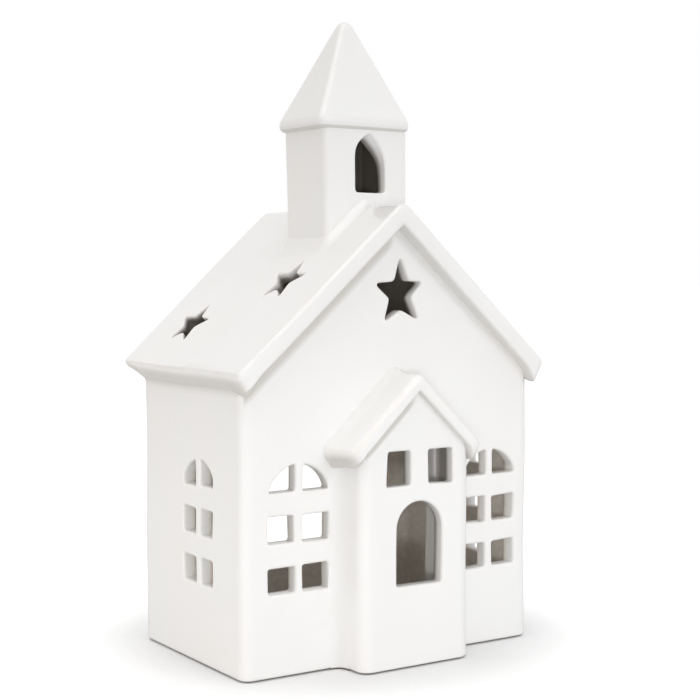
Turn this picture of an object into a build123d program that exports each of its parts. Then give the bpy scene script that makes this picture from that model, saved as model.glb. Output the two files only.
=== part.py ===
"""Glazed ceramic chapel with a steeple, lit from inside by an LED tealight.

Sizes are in millimetres and angles in degrees. +Z is up, the door faces -Y, and the
origin is the middle of the footprint of the whole chapel, on the surface it stands on.
"""

import os
from math import cos, pi, radians, sin, tan

from build123d import *

# Four walls, cast as one shell that is open underneath
wall_width = 108.0
wall_depth = 67.0
wall_thickness = 4.6
wall_corner_radius = 3.0
chamber_corner_radius = 2.0

# Main roof, a bent slab whose lower edges land on the outside of the side walls. Its ends
# are set back towards the eaves, so the overhangs are widest at the ridge
ridge_height = 143.2
roof_pitch = 41.7
roof_thickness = 5.6
roof_front_overhang = 5.6
roof_back_overhang = 10.8
roof_setback_angle = 3.5
ridge_radius = 3.5
roof_edge_radius = 1.6

# Cut-outs in the front stand a little to the right of the middle
cutout_offset = 1.5

# Windows of two columns and three rows, the top row cut to a low arch
window_sill = 25.4
pane_height = 8.1
transom_height = 7.1
arch_radius = 11.2
arch_drop = 3.0
front_pane_width = 9.1
front_mullion_width = 2.9
front_window_x = 36.2
side_pane_width = 7.9
side_mullion_width = 3.1
side_window_forward = 4.4

# Arched opening in the back wall, through which the light is reached
back_opening_width = 48.0
back_opening_sill = 25.0
back_opening_spring = 51.0

# Five-pointed star cut-outs, one in the gable and two on each slope of the roof
star_waist_share = 0.42
gable_star_radius = 10.2
gable_star_drop = 20.5
roof_star_radius = 9.2
upper_star_from_ridge = 36.2
lower_star_from_ridge = 57.5
left_upper_star_from_front = 26.7
left_lower_star_from_front = 59.8
right_upper_star_from_front = 66.7
right_lower_star_from_front = 33.6

# Porch, a shallow box in front of the gable wall, open to the chamber behind it
porch_width = 39.2
porch_depth = 11.7
porch_wall = 4.4
porch_corner_radius = 3.6
porch_cove = 4.4
porch_ridge_height = 91.0
porch_pitch = 43.0
porch_roof_thickness = 4.2
porch_roof_overhang = 2.4
porch_roof_edge_radius = 1.5
porch_ridge_radius = 3.0
porch_flare = 3.5
porch_flare_depth = 5.0
porch_flare_tuck = 1.0
passage_sill = 14.0
door_width = 16.6
door_sill = 25.3
door_spring = 42.8
fanlight_width = 8.6
fanlight_height = 10.5
fanlight_rise = 5.2
fanlight_gap = 6.7

# Steeple tower, astride the ridge
tower_width = 30.4
tower_depth = 24.4
tower_wall = 4.0
tower_height = 23.6
tower_edge_radius = 1.6
tower_behind_gable = 27.9
belfry_width = 11.2
belfry_sill_rise = 3.4
belfry_side_height = 13.0

# Spire, a hollow pyramid with a small drip edge
spire_drip = 1.3
spire_brow = 1.3
spire_height = 32.6
spire_overhang = 1.5
spire_tip_width = 2.2
spire_tip_solid = 12.0

# Tealight under the steeple: case, base and flame
light_radius = 18.5
light_height = 14.5
light_wall = 1.2
light_edge_bevel = 0.6
light_dish_depth = 0.5
base_clearance = 0.1
base_floor = 1.6
skirt_wall = 1.2
flame_height = 16.5
flame_radius = 4.6
flame_collar_radius = 6.6
flame_wall = 1.0
flame_radius_shares = (1.0, 0.95, 0.66, 0.12)
flame_height_shares = (0.0, 0.35, 0.7, 1.0)

# Coin cell in its well, and the door that turns to lock under it
cell_radius = 10.0
cell_thickness = 3.2
cell_cap_radius = 8.6
cell_cap_height = 0.6
well_offset = 3.4
well_wall = 1.2
cell_clearance = 0.6
door_recess = 0.3
running_clearance = 0.3
door_radius = 10.8
lug_reach = 1.3
lug_thickness = 0.9
lug_angle = 24.0
door_turn = 45.0
coin_slot_width = 1.8
coin_slot_length = 13.0
coin_slot_depth = 0.8

# Circuit board, its contacts and the lamp
board_seat = 8.2
board_thickness = 1.2
contact_thickness = 0.3
contact_angle = 24.0
leaf_width = 4.0
leaf_pad_length = 3.0
leaf_run = 4.0
lamp_radius = 2.5
lamp_length = 8.6
lamp_flange_radius = 2.9
lamp_flange_height = 1.0
lead_width = 0.5
lead_spacing = 2.54
lead_clearance = 0.1
lead_stub = 0.6

# Slide switch in the floor of the tealight
switch_x = -13.0
switch_knob_width = 2.6
switch_knob_length = 3.4
switch_travel = 2.4
switch_lip = 0.8
switch_flange_height = 1.0

# Cuts run this far past the faces they open
overrun = 1.0

# Heights and places that follow from the sizes above
half_width = wall_width / 2
slope = tan(radians(roof_pitch))
roof_reach = half_width + roof_thickness * sin(radians(roof_pitch)) + overrun
roof_setback = roof_reach * tan(radians(roof_setback_angle))
soffit_apex = ridge_height - roof_thickness / cos(radians(roof_pitch))
porch_slope = tan(radians(porch_pitch))
porch_soffit = porch_ridge_height - porch_roof_thickness / cos(radians(porch_pitch))
porch_half_width = porch_width / 2
front_reach = wall_depth / 2 + porch_depth + porch_roof_overhang
back_reach = wall_depth / 2 + roof_back_overhang
middle_y = (front_reach - back_reach) / 2
front_y = middle_y - wall_depth / 2
back_y = middle_y + wall_depth / 2
porch_front_y = front_y - porch_depth
fanlight_sill = door_spring + door_width / 2 + fanlight_rise
roof_front_y = front_y - roof_front_overhang
roof_back_y = back_y + roof_back_overhang
tower_y = front_y + tower_behind_gable
tower_top = ridge_height + tower_height
belfry_sill = ridge_height + belfry_sill_rise
spire_eave = tower_top + spire_drip
spire_apex = spire_eave + spire_brow + spire_height
tower_foot = ridge_height - slope * tower_width / 2 - overrun
spire_width = tower_width + 2 * spire_overhang
spire_depth = tower_depth + 2 * spire_overhang
light_axis = Axis((0, tower_y, 0), (0, 0, 1))
light_section = Plane(origin=(0, tower_y, 0), x_dir=(1, 0, 0), z_dir=(0, -1, 0))


def facing_front(y):
    """Plane at depth y that looks out of the front, with X to the right and Z up."""
    return Plane(origin=(0, y, 0), x_dir=(1, 0, 0), z_dir=(0, -1, 0))


def level(x, y, z):
    """Level plane with its origin at a point."""
    return Plane(origin=(x, y, z))


def gable(reach, apex, pitch_slope, foot):
    """Corners of a gable end, from its foot to its apex, as wide as reach each way."""
    shoulder = apex - pitch_slope * reach
    return [(-reach, foot), (reach, foot), (reach, shoulder), (0, apex), (-reach, shoulder)]


def bent_slab(wall_reach, soffit, pitch, thickness):
    """Corners of a roof slab bent over its ridge, with ends square to the slopes."""
    ridge = soffit + thickness / cos(radians(pitch))
    reach = wall_reach + thickness * sin(radians(pitch))
    eave = ridge - reach * tan(radians(pitch))
    lip = soffit - wall_reach * tan(radians(pitch))
    right_side = [(reach, eave), (wall_reach, lip)]
    left_side = [(-wall_reach, lip), (-reach, eave)]
    return [(0, ridge), *right_side, (0, soffit), *left_side]


def porch_slab(thickness):
    """Corners of the porch roof at a thickness, over the same underside."""
    return bent_slab(porch_half_width, porch_soffit, porch_pitch, thickness)


def mirrored(right_side):
    """Corners of an outline that is the same on both sides, from its right side upwards."""
    return [*right_side, *[(-x, z) for x, z in reversed(right_side)]]


def spire_outline(foot_width, eave_width):
    """Corners of the spire seen square on: drip edge, upright brow and slope to the tip."""
    foot = (foot_width / 2, tower_top)
    eave = (eave_width / 2, spire_eave)
    brow = (eave_width / 2, spire_eave + spire_brow)
    tip = (spire_tip_width / 2, spire_apex)
    return mirrored([foot, eave, brow, tip])


def hollow_outline(foot_width):
    """Corners of the hollow in the spire seen square on, open to the tower below."""
    foot = (foot_width / 2 - tower_wall, tower_top - overrun)
    peak = (spire_tip_width / 2, spire_apex - spire_tip_solid)
    return mirrored([foot, peak])


def star(radius):
    """Corners of a five-pointed star with one point up."""
    reaches = [radius, star_waist_share * radius] * 5
    turns = [pi / 2 + step * pi / 5 for step in range(len(reaches))]
    return [(reach * cos(turn), reach * sin(turn)) for reach, turn in zip(reaches, turns)]


def window(pane_width, mullion_width):
    """Panes of one window about its middle: two square rows under an arched row."""
    row_step = pane_height + transom_height
    arch_foot = window_sill + 2 * row_step
    with BuildSketch() as arch:
        with Locations((0, arch_foot - arch_drop)):
            Circle(arch_radius)
        with Locations((0, arch_foot)):
            Rectangle(4 * arch_radius, 4 * arch_radius, align=(Align.CENTER, Align.MAX), mode=Mode.SUBTRACT)
        Rectangle(mullion_width, 2 * (arch_foot + arch_radius), mode=Mode.SUBTRACT)
        with Locations((0, arch_foot)):
            Rectangle(2 * pane_width + mullion_width, 2 * arch_radius, mode=Mode.INTERSECT)
    with BuildSketch() as panes:
        add(arch.sketch)
        with Locations((0, window_sill + pane_height / 2 + row_step / 2)):
            with GridLocations(pane_width + mullion_width, row_step, 2, 2):
                Rectangle(pane_width, pane_height)
    return panes.sketch


def arched_opening(width, sill, spring):
    """Opening with upright sides and a half-round head."""
    with BuildSketch() as opening:
        with Locations((0, sill)):
            Rectangle(width, spring - sill, align=(Align.CENTER, Align.MIN))
        with Locations((0, spring)):
            Circle(width / 2)
    return opening.sketch


front_window = window(front_pane_width, front_mullion_width)
side_window = window(side_pane_width, side_mullion_width)
back_opening = arched_opening(back_opening_width, back_opening_sill, back_opening_spring)
doorway = arched_opening(door_width, door_sill, door_spring)
belfry_opening = arched_opening(belfry_width, belfry_sill, belfry_sill + belfry_side_height)


# House walls
with BuildPart() as house_walls:
    with BuildSketch(facing_front(front_y)):
        Polygon(*gable(half_width, soffit_apex, slope, 0), align=None)
    extrude(amount=-wall_depth)
    fillet(house_walls.edges().filter_by(Axis.Z), wall_corner_radius)
    with BuildSketch(facing_front(front_y + wall_thickness)):
        Polygon(*gable(half_width - wall_thickness, soffit_apex + overrun, slope, -overrun), align=None)
    extrude(amount=2 * wall_thickness - wall_depth, mode=Mode.SUBTRACT)
    chamber_corners = house_walls.edges().filter_by(Axis.Z).filter_by_position(
        Axis.X, wall_thickness - half_width - overrun / 2, half_width - wall_thickness + overrun / 2
    ).filter_by_position(
        Axis.Y, front_y + wall_thickness - overrun / 2, back_y - wall_thickness + overrun / 2
    )
    fillet(chamber_corners, chamber_corner_radius)
    with BuildSketch(facing_front(front_y - overrun)):
        with Locations((cutout_offset - front_window_x, 0), (cutout_offset + front_window_x, 0)):
            add(front_window)
        with Locations((cutout_offset, soffit_apex - gable_star_drop)):
            Polygon(*star(gable_star_radius), align=None)
        with Locations((0, passage_sill)):
            Rectangle(
                porch_width - 2 * porch_wall,
                porch_soffit - porch_slope * porch_half_width - passage_sill,
                align=(Align.CENTER, Align.MIN),
            )
    extrude(amount=-wall_thickness - 2 * overrun, mode=Mode.SUBTRACT)
    with BuildSketch(Plane.YZ):
        with Locations((middle_y - side_window_forward, 0)):
            add(side_window)
    extrude(amount=half_width + overrun, both=True, mode=Mode.SUBTRACT)
    with BuildSketch(facing_front(back_y + overrun)):
        add(back_opening)
    extrude(amount=wall_thickness + 2 * overrun, mode=Mode.SUBTRACT)

# Main roof, its right half mirrored to the left
with BuildPart() as main_roof:
    with BuildSketch(facing_front(roof_front_y)):
        Polygon(*bent_slab(half_width, soffit_apex, roof_pitch, roof_thickness), align=None)
        fillet(vertices().sort_by(Axis.Y)[-1], ridge_radius)
        Rectangle(roof_reach, 2 * ridge_height, align=(Align.MIN, Align.CENTER), mode=Mode.INTERSECT)
    extrude(amount=roof_front_y - roof_back_y)
    with BuildSketch(Plane.XY):
        Polygon(
            (0, roof_front_y),
            (roof_reach, roof_front_y + roof_setback),
            (roof_reach, roof_back_y - roof_setback),
            (0, roof_back_y),
            align=None,
        )
    extrude(amount=ridge_height + overrun, mode=Mode.INTERSECT)
    upper_edges = main_roof.faces().filter_by(lambda face: face.normal_at().Z > 0).edges()
    gable_edges = upper_edges.filter_by(Axis.Y, reverse=True)
    eave_edge = upper_edges.filter_by(Axis.Y).sort_by(Axis.X)[-1]
    fillet([*gable_edges, eave_edge], roof_edge_radius)
    mirror(about=Plane.YZ)
    with BuildSketch(level(0, tower_y, ridge_height + overrun)):
        Rectangle(tower_width - 2 * tower_wall, tower_depth - 2 * tower_wall)
    extrude(amount=-ridge_height + soffit_apex - slope * tower_width, mode=Mode.SUBTRACT)
    for side, upper_from_front, lower_from_front in (
        (-1, left_upper_star_from_front, left_lower_star_from_front),
        (1, right_upper_star_from_front, right_lower_star_from_front),
    ):
        normal = Vector(side * sin(radians(roof_pitch)), 0, cos(radians(roof_pitch)))
        slope_plane = Plane(origin=(0, roof_front_y, ridge_height), x_dir=(0, side, 0), z_dir=normal)
        with BuildSketch(slope_plane.offset(overrun)):
            with Locations(
                (side * upper_from_front, -upper_star_from_ridge),
                (side * lower_from_front, -lower_star_from_ridge),
            ):
                Polygon(*star(roof_star_radius), align=None)
        extrude(amount=-roof_thickness - 2 * overrun, mode=Mode.SUBTRACT)

# Porch walls
with BuildPart() as porch_walls:
    with BuildSketch(facing_front(porch_front_y)):
        Polygon(*gable(porch_half_width, porch_soffit, porch_slope, 0), align=None)
    extrude(amount=-porch_depth)
    front_corners = porch_walls.edges().filter_by(Axis.Z).group_by(Axis.Y)[0]
    fillet(front_corners, porch_corner_radius)
    with BuildSketch(facing_front(porch_front_y + porch_wall)):
        Polygon(
            *gable(porch_half_width - porch_wall, porch_soffit - porch_wall, porch_slope, -overrun),
            align=None,
        )
    extrude(amount=porch_wall - porch_depth - overrun, mode=Mode.SUBTRACT)
    with BuildSketch(level(0, front_y, 0)):
        with GridLocations(porch_width + porch_cove, 0, 2, 1):
            Rectangle(porch_cove, porch_cove, align=(Align.CENTER, Align.MAX))
        with Locations((0, -porch_cove)):
            with GridLocations(porch_width + 2 * porch_cove, 0, 2, 1):
                Circle(porch_cove, mode=Mode.SUBTRACT)
    extrude(amount=porch_soffit - porch_slope * porch_half_width)
    with BuildSketch(facing_front(porch_front_y - overrun)):
        with Locations((cutout_offset, 0)):
            add(doorway)
        with Locations((cutout_offset, fanlight_sill + fanlight_height / 2)):
            with GridLocations(fanlight_width + fanlight_gap, 0, 2, 1):
                Rectangle(fanlight_width, fanlight_height)
    extrude(amount=-porch_wall - 2 * overrun, mode=Mode.SUBTRACT)

# Porch roof
with BuildPart() as porch_roof:
    with BuildSketch(facing_front(porch_front_y - porch_roof_overhang)):
        Polygon(*porch_slab(porch_roof_thickness), align=None)
    extrude(amount=-porch_depth - porch_roof_overhang)
    fillet(porch_roof.edges().filter_by(Axis.Y).sort_by(Axis.Z)[-1], porch_ridge_radius)
    fillet(porch_roof.faces().sort_by(Axis.Y)[0].edges().sort_by(Axis.Z)[-3:], porch_roof_edge_radius)
    with BuildSketch(facing_front(front_y - porch_flare_depth)):
        Polygon(*porch_slab(porch_roof_thickness - porch_flare_tuck), align=None)
    with BuildSketch(facing_front(front_y)):
        Polygon(*porch_slab(porch_roof_thickness + porch_flare), align=None)
    loft(ruled=True)

# Steeple tower
with BuildPart() as steeple_tower:
    with BuildSketch(level(0, tower_y, tower_foot)):
        RectangleRounded(tower_width, tower_depth, tower_edge_radius)
    extrude(amount=tower_top - tower_foot)
    with BuildSketch(level(0, tower_y, tower_top + overrun)):
        Rectangle(tower_width - 2 * tower_wall, tower_depth - 2 * tower_wall)
    extrude(amount=tower_foot - tower_top - 2 * overrun, mode=Mode.SUBTRACT)
    with BuildSketch(facing_front(tower_y - tower_depth)):
        Polygon(*gable(tower_width, ridge_height, slope, 0), align=None)
        crown = vertices().sort_by(Axis.Y)[-1]
        fillet(crown, ridge_radius)
    extrude(amount=-2 * tower_depth, mode=Mode.SUBTRACT)
    with BuildSketch(facing_front(tower_y - tower_depth / 2 - overrun)):
        with Locations((cutout_offset, 0)):
            add(belfry_opening)
    extrude(amount=-tower_wall - 2 * overrun, mode=Mode.SUBTRACT)

# Spire, where its front outline and its side outline cross
side_section = Plane(origin=(0, tower_y, 0), x_dir=(0, 1, 0), z_dir=(1, 0, 0))
with BuildPart() as spire_hollow:
    with BuildSketch(facing_front(tower_y - spire_depth)):
        Polygon(*hollow_outline(tower_width), align=None)
    extrude(amount=-2 * spire_depth)
    with BuildSketch(side_section):
        Polygon(*hollow_outline(tower_depth), align=None)
    extrude(amount=spire_width, both=True, mode=Mode.INTERSECT)
with BuildPart() as spire:
    with BuildSketch(facing_front(tower_y - spire_depth)):
        Polygon(*spire_outline(tower_width, spire_width), align=None)
    extrude(amount=-2 * spire_depth)
    with BuildSketch(side_section):
        Polygon(*spire_outline(tower_depth, spire_depth), align=None)
    extrude(amount=spire_width, both=True, mode=Mode.INTERSECT)
    add(spire_hollow.part, mode=Mode.SUBTRACT)

# Tealight case
case_bore = light_radius - light_wall
collar_top = light_height - light_wall - light_dish_depth
with BuildPart() as tealight_case:
    with BuildSketch(light_section):
        with BuildLine():
            Polyline(
                (light_radius, 0),
                (light_radius, light_height),
                (case_bore, light_height),
                (flame_radius + base_clearance, light_height - light_dish_depth),
                (flame_radius + base_clearance, collar_top),
                (case_bore, collar_top),
                (case_bore, 0),
                close=True,
            )
        make_face()
    revolve(axis=light_axis)
    chamfer(tealight_case.edges().group_by(Axis.Z)[-1].sort_by(SortBy.RADIUS)[-1], light_edge_bevel)

# Tealight base with the well of the cell
skirt_radius = case_bore - base_clearance
lug_seat = base_floor + running_clearance
door_top = lug_seat + lug_thickness
cell_bottom = door_top + running_clearance
cell_top = cell_bottom + cell_thickness
well_radius = cell_radius + cell_clearance
lug_bore = door_radius + lug_reach + running_clearance
well_plane = level(well_offset, tower_y, 0)
well_axis = Axis((well_offset, tower_y, 0), (0, 0, 1))
well_section = Plane(origin=(well_offset, tower_y, 0), x_dir=(1, 0, 0), z_dir=(0, -1, 0))
knob_slot_length = switch_knob_length + switch_travel + 2 * running_clearance
with BuildPart() as tealight_base:
    with BuildSketch(level(0, tower_y, 0)):
        Circle(skirt_radius)
    extrude(amount=base_floor)
    with BuildSketch(level(0, tower_y, base_floor)):
        Circle(skirt_radius)
        Circle(skirt_radius - skirt_wall, mode=Mode.SUBTRACT)
    extrude(amount=board_seat - base_floor)
    with BuildSketch(level(0, tower_y, base_floor)):
        with Locations((well_offset, 0)):
            Circle(lug_bore + well_wall)
        Circle(skirt_radius - skirt_wall / 2, mode=Mode.INTERSECT)
    extrude(amount=cell_top - base_floor)
    with BuildSketch(well_plane.offset(-overrun)):
        Circle(door_radius + running_clearance)
    extrude(amount=base_floor + 2 * overrun, mode=Mode.SUBTRACT)
    with BuildSketch(well_plane.offset(base_floor)):
        Circle(lug_bore)
    extrude(amount=door_top + running_clearance - base_floor, mode=Mode.SUBTRACT)
    with BuildSketch(well_plane.offset(base_floor)):
        Circle(well_radius)
    extrude(amount=cell_top, mode=Mode.SUBTRACT)
    with BuildSketch(well_plane.offset(-overrun)):
        with PolarLocations(0, 2, start_angle=door_turn):
            Rectangle(2 * lug_bore * sin(radians(lug_angle)), 2 * lug_bore)
        Circle(lug_bore, mode=Mode.INTERSECT)
    extrude(amount=base_floor + overrun, mode=Mode.SUBTRACT)
    with BuildSketch(level(switch_x, tower_y, -overrun)):
        Rectangle(switch_knob_width + 2 * running_clearance, knob_slot_length)
    extrude(amount=base_floor + 2 * overrun, mode=Mode.SUBTRACT)

# Battery door with two locking lugs and a coin slot
with BuildPart() as battery_door:
    with BuildSketch(well_plane.offset(door_recess)):
        Circle(door_radius)
    extrude(amount=door_top - door_recess)
    with BuildSketch(well_plane.offset(lug_seat)):
        Rectangle(2 * door_radius * sin(radians(lug_angle)), 2 * (door_radius + lug_reach))
        Circle(door_radius + lug_reach, mode=Mode.INTERSECT)
    extrude(amount=lug_thickness)
    with BuildSketch(well_plane.offset(door_recess - overrun)):
        SlotOverall(coin_slot_length, coin_slot_width)
    extrude(amount=coin_slot_depth + overrun, mode=Mode.SUBTRACT)

# Coin cell
with BuildPart() as coin_cell:
    with BuildSketch(well_plane.offset(cell_bottom)):
        Circle(cell_radius)
    extrude(amount=cell_thickness - cell_cap_height)
    with BuildSketch(well_plane.offset(cell_top - cell_cap_height)):
        Circle(cell_cap_radius)
    extrude(amount=cell_cap_height)

# Circuit board with holes for the leads of the lamp
with BuildPart() as circuit_board:
    with BuildSketch(level(0, tower_y, board_seat)):
        Circle(skirt_radius)
        with GridLocations(lead_spacing, 0, 2, 1):
            Rectangle(lead_width + 2 * lead_clearance, lead_width + 2 * lead_clearance, mode=Mode.SUBTRACT)
    extrude(amount=board_thickness)

# Side contact, a curved strip against the can of the cell
with BuildPart() as side_contact:
    with BuildSketch(well_section):
        with Locations((cell_radius, cell_bottom + contact_thickness)):
            Rectangle(
                contact_thickness,
                board_seat - cell_bottom - contact_thickness,
                align=(Align.MIN, Align.MIN),
            )
    revolve(axis=well_axis, revolution_arc=contact_angle)

# Leaf contact, bent down from the board to the cap of the cell
with BuildPart() as leaf_contact:
    with BuildSketch(Plane(origin=(well_offset, tower_y, 0), x_dir=(0, 1, 0), z_dir=(1, 0, 0))):
        Polygon(
            (0, cell_top),
            (leaf_pad_length, cell_top),
            (leaf_pad_length + leaf_run, board_seat - contact_thickness),
            (2 * leaf_pad_length + leaf_run, board_seat - contact_thickness),
            (2 * leaf_pad_length + leaf_run, board_seat),
            (leaf_pad_length + leaf_run, board_seat),
            (leaf_pad_length, cell_top + contact_thickness),
            (0, cell_top + contact_thickness),
            align=None,
        )
    extrude(amount=leaf_width / 2, both=True)

# Lamp on the board
board_top = board_seat + board_thickness
with BuildPart() as lamp:
    with BuildSketch(level(0, tower_y, board_top)):
        Circle(lamp_flange_radius)
    extrude(amount=lamp_flange_height)
    with BuildSketch(level(0, tower_y, board_top)):
        Circle(lamp_radius)
    extrude(amount=lamp_length - lamp_radius)
    with Locations((0, tower_y, board_top + lamp_length - lamp_radius)):
        Sphere(lamp_radius)
    with BuildSketch(level(0, tower_y, board_top)):
        with GridLocations(lead_spacing, 0, 2, 1):
            Rectangle(lead_width, lead_width)
    extrude(amount=-board_thickness - lead_stub)

# Flame, a hollow teardrop whose collar stands between the board and the case
flame_top = light_height + flame_height
flame_side = [
    (radius_share * flame_radius, light_height + height_share * flame_height)
    for radius_share, height_share in zip(flame_radius_shares, flame_height_shares)
]
with BuildPart() as flame:
    with BuildSketch(light_section):
        with BuildLine():
            Polyline(
                (0, flame_top),
                (0, board_top),
                (flame_collar_radius, board_top),
                (flame_collar_radius, collar_top),
                (flame_radius, collar_top),
                *flame_side,
                close=True,
            )
        make_face()
    revolve(axis=light_axis)
    with BuildSketch(level(0, tower_y, board_top - overrun)):
        Circle(flame_radius - flame_wall)
    extrude(amount=lamp_length + flame_wall + overrun, mode=Mode.SUBTRACT)

# Switch slider, a knob in the slot and a flange that keeps it in
with BuildPart() as switch_slider:
    with BuildSketch(level(switch_x, tower_y - switch_travel / 2, door_recess)):
        Rectangle(switch_knob_width, switch_knob_length)
    extrude(amount=base_floor + running_clearance - door_recess)
    with BuildSketch(level(switch_x, tower_y - switch_travel / 2, base_floor + running_clearance)):
        Rectangle(switch_knob_width + 2 * switch_lip, switch_knob_length + 2 * switch_lip)
    extrude(amount=switch_flange_height)

# Write each piece to a file of its own
pieces = {
    "house_walls": house_walls,
    "main_roof": main_roof,
    "porch_walls": porch_walls,
    "porch_roof": porch_roof,
    "steeple_tower": steeple_tower,
    "spire": spire,
    "tealight_case": tealight_case,
    "tealight_base": tealight_base,
    "battery_door": battery_door,
    "coin_cell": coin_cell,
    "circuit_board": circuit_board,
    "side_contact": side_contact,
    "leaf_contact": leaf_contact,
    "lamp": lamp,
    "flame": flame,
    "switch_slider": switch_slider,
}
os.makedirs("parts", exist_ok=True)
for name, piece in pieces.items():
    piece.part.label = name
    export_step(piece.part, f"parts/{name}.step")
    print(name, round(piece.part.volume, 1))
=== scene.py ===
import bpy
import numpy as np
from mathutils import Matrix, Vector
from mathutils.geometry import delaunay_2d_cdt


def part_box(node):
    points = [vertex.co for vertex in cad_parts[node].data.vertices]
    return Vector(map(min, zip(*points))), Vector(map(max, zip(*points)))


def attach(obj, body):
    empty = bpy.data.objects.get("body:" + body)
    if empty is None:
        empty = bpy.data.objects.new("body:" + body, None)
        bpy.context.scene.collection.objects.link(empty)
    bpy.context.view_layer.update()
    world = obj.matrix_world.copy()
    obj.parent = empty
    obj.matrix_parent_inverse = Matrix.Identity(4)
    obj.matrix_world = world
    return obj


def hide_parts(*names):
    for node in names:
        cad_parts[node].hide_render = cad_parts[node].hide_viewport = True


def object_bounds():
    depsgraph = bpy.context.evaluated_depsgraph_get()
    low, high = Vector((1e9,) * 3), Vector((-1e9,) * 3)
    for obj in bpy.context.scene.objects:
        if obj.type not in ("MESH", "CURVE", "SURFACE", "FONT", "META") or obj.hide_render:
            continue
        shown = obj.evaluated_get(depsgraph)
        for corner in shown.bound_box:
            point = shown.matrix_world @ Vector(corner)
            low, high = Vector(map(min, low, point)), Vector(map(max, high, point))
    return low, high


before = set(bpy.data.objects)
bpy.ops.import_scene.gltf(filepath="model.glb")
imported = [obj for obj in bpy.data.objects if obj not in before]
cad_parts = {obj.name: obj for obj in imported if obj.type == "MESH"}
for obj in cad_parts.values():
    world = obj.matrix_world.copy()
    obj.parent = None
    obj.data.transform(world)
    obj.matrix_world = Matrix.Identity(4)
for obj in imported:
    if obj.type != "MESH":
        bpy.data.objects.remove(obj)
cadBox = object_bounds()
print("frame loaded:", len(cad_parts), "nodes")

# sizes of the house are in millimetres, in the part's own frame
millimetre = 0.001
rng = np.random.default_rng(12)


# a CAD node's lowest and highest corners
def nodeBox(node):
    return [np.array(corner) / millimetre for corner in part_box(node)]


boxLow, boxHigh = [np.array(corner) / millimetre for corner in cadBox]
wallLow, wallHigh = nodeBox("house_walls")
roofLow, roofHigh = nodeBox("main_roof")
porchLow, porchHigh = nodeBox("porch_walls")
porchRoofLow = nodeBox("porch_roof")[0]
towerLow, towerHigh = nodeBox("steeple_tower")
spireHigh = nodeBox("spire")[1]
halfWidth, backY, soffitZ = wallHigh
frontY = wallLow[1]
towerY = (towerLow[1] + towerHigh[1]) / 2

# what several castings share; the front cut-outs stand a little to the right of the middle
house = {
    "wall": 4.6, "pitch": np.radians(41.7), "slab": 5.6, "ridgeRadius": 3.5, "porchHalf": 19.6,
    "porchWall": 4.4, "porchPitch": np.radians(43.0), "cutoutOffset": 1.5, "innerCorner": 0.5,
    "innerLip": 0.5,
}
slope = np.tan(house["pitch"])
ridgeZ = soffitZ + house["slab"] / np.cos(house["pitch"])

# the rooms inside, and the share of the wall's depth that the glaze covers in their cut-outs
chamber = {
    "halfX": halfWidth - house["wall"], "front": frontY + house["wall"], "back": backY - house["wall"],
    "glazed": 0.2,
}
towerRoom = dict(chamber, glazed=0.36)
porchRoom = {
    "halfX": house["porchHalf"] - house["porchWall"], "front": porchLow[1] + house["porchWall"],
    "back": backY, "glazed": 0.2,
}


# 0 up to the start, 1 from start plus over on, and even in between
def rising(value, start, over):
    return np.clip((value - start) / over, 0, 1)


# a corner walked at even steps: straight for a run, round an arc of the radius, straight again
def turnCorner(corner, heading, outward, turn, radius, reach, steps):
    run = reach - radius * np.tan(turn / 2)
    arc = radius * turn
    walked = np.linspace(0, 2 * run + arc, steps)[:, None]
    angle = np.clip((walked - run) / radius, 0, turn)
    before = np.minimum(walked - run, 0)
    after = np.maximum(walked - run - arc, 0)
    centre = corner - heading * radius * np.tan(turn / 2) - outward * radius
    leaving = heading * np.cos(turn) - outward * np.sin(turn)
    bend = radius * (outward * np.cos(angle) + heading * np.sin(angle))
    return centre + bend + heading * before + leaving * after


# distances along a line of points
def walkedTo(points):
    return np.concatenate([[0], np.cumsum(np.linalg.norm(np.diff(points, axis=0), axis=1))])


# a wall of even thickness bent along a line: for each distance s along the sharp line, the point on the
# outer face and the point on the inner face behind it, with both rounded at the corners
def bentWall(corners, outerRadius, innerRadius, thickness, side, steps=13):
    corners = np.array(corners, float)
    legs = np.diff(corners, axis=0)
    headings = legs / np.linalg.norm(legs, axis=1, keepdims=True)
    outwards = side * np.stack([headings[:, 1], -headings[:, 0]], 1)
    at = walkedTo(corners)
    s, outer, inner = [at[:1]], [corners[:1]], [corners[:1] - outwards[:1] * thickness]
    bends = []
    for k in range(1, len(corners) - 1):
        heading, out, nextOut = headings[k - 1], outwards[k - 1], outwards[k]
        turn = np.arccos(np.clip(heading @ headings[k], -1, 1))
        half = np.tan(turn / 2)
        reach = max(outerRadius, thickness + innerRadius) * half
        innerCorner = corners[k] - thickness * (out + nextOut) / (1 + out @ nextOut)
        bends.append(at[k] + np.linspace(-reach, reach, steps))
        s.append(bends[-1])
        outer.append(turnCorner(corners[k], heading, out, turn, outerRadius, reach, steps))
        reach -= thickness * half
        inner.append(turnCorner(innerCorner, heading, out, turn, innerRadius, reach, steps))
    return {"s": np.concatenate(s + [at[-1:]]), "outer": np.vstack(outer + [corners[-1:]]),
            "inner": np.vstack(inner + [corners[-1:] - outwards[-1:] * thickness]), "thickness": thickness,
            "bends": np.array(bends), "corners": at}


# the point at distance s along a bent wall: from the outer face towards the inner one by depth over thickness
def onWall(wall, s, depth):
    share = (depth / wall["thickness"])[..., None]
    outer = np.stack([np.interp(s, wall["s"], wall["outer"][:, k]) for k in (0, 1)], -1)
    inner = np.stack([np.interp(s, wall["s"], wall["inner"][:, k]) for k in (0, 1)], -1)
    return outer + (inner - outer) * share


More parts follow.
